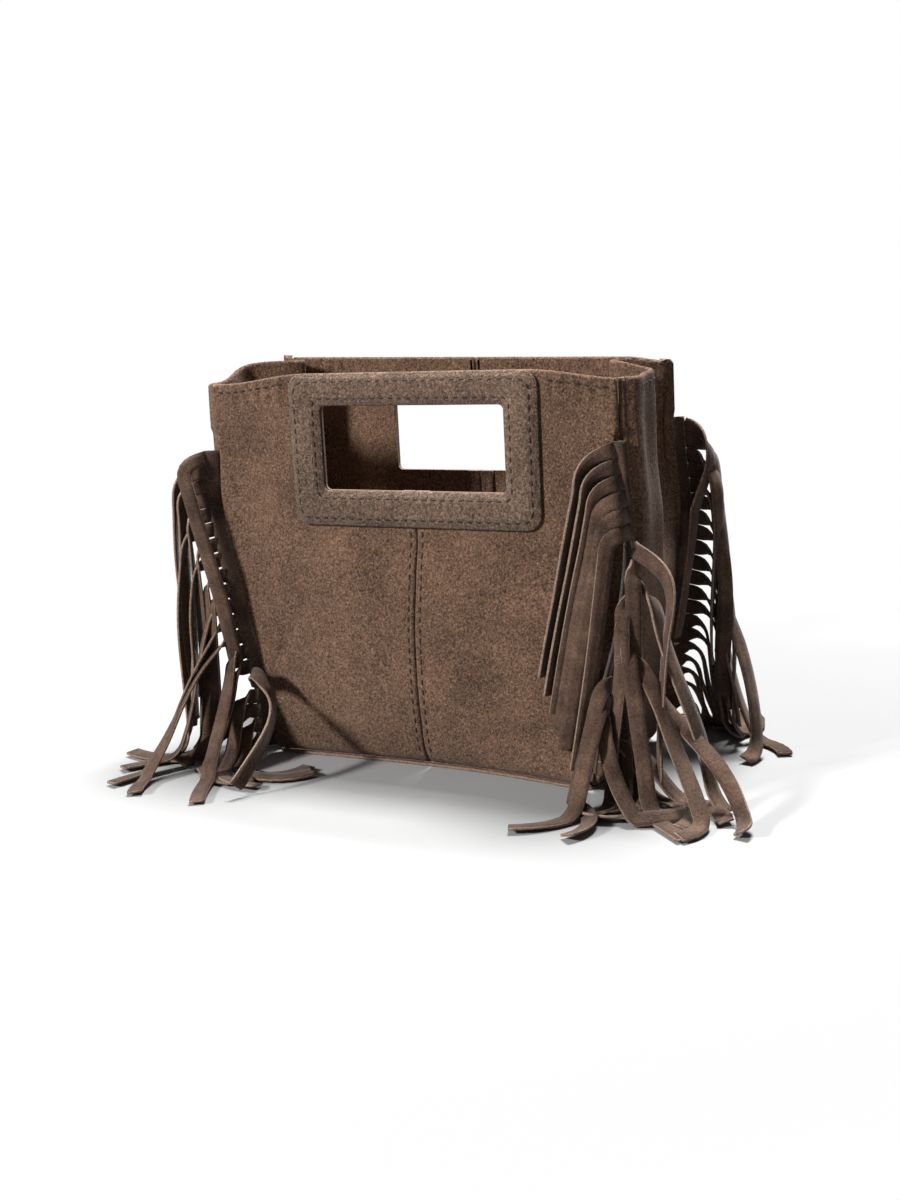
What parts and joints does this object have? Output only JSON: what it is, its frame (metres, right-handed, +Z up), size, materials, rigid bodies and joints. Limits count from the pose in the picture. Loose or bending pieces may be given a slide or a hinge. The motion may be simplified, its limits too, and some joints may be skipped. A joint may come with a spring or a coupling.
{
  "type": "fringed suede bag",
  "caption": "Small open-top suede handbag with patch handles cut through front and back, folded side gussets, a flat base and cut fringe hanging from every corner seam.",
  "frame": {"origin": "on the ground under the middle of the bag's base", "axes": "+Z up, -Y out of the front, +X to the right seen from the front"},
  "size_m": [0.3349, 0.2344, 0.2044],
  "materials": {
    "suede": "coarse napped split suede, dry and matt",
    "patch_suede": "coarse napped split suede, pressed flat over a board",
    "fringe_suede": "finer, smoother suede with paler cut edges",
    "board": "pressed fibre board, hidden between patch and panel"
  },
  "bodies": {
    "root": {"front_panel_left": "suede", "front_panel_right": "suede", "back_panel_left": "suede", "back_panel_right": "suede", "gusset_left": "suede", "gusset_right": "suede", "base_panel": "suede", "front_handle_patch": "patch_suede", "back_handle_patch": "patch_suede", "front_handle_board": "board", "back_handle_board": "board", "fringe_front_left": "fringe_suede", "fringe_front_right": "fringe_suede", "fringe_back_left": "fringe_suede", "fringe_back_right": "fringe_suede"}
  },
  "joints": []
}
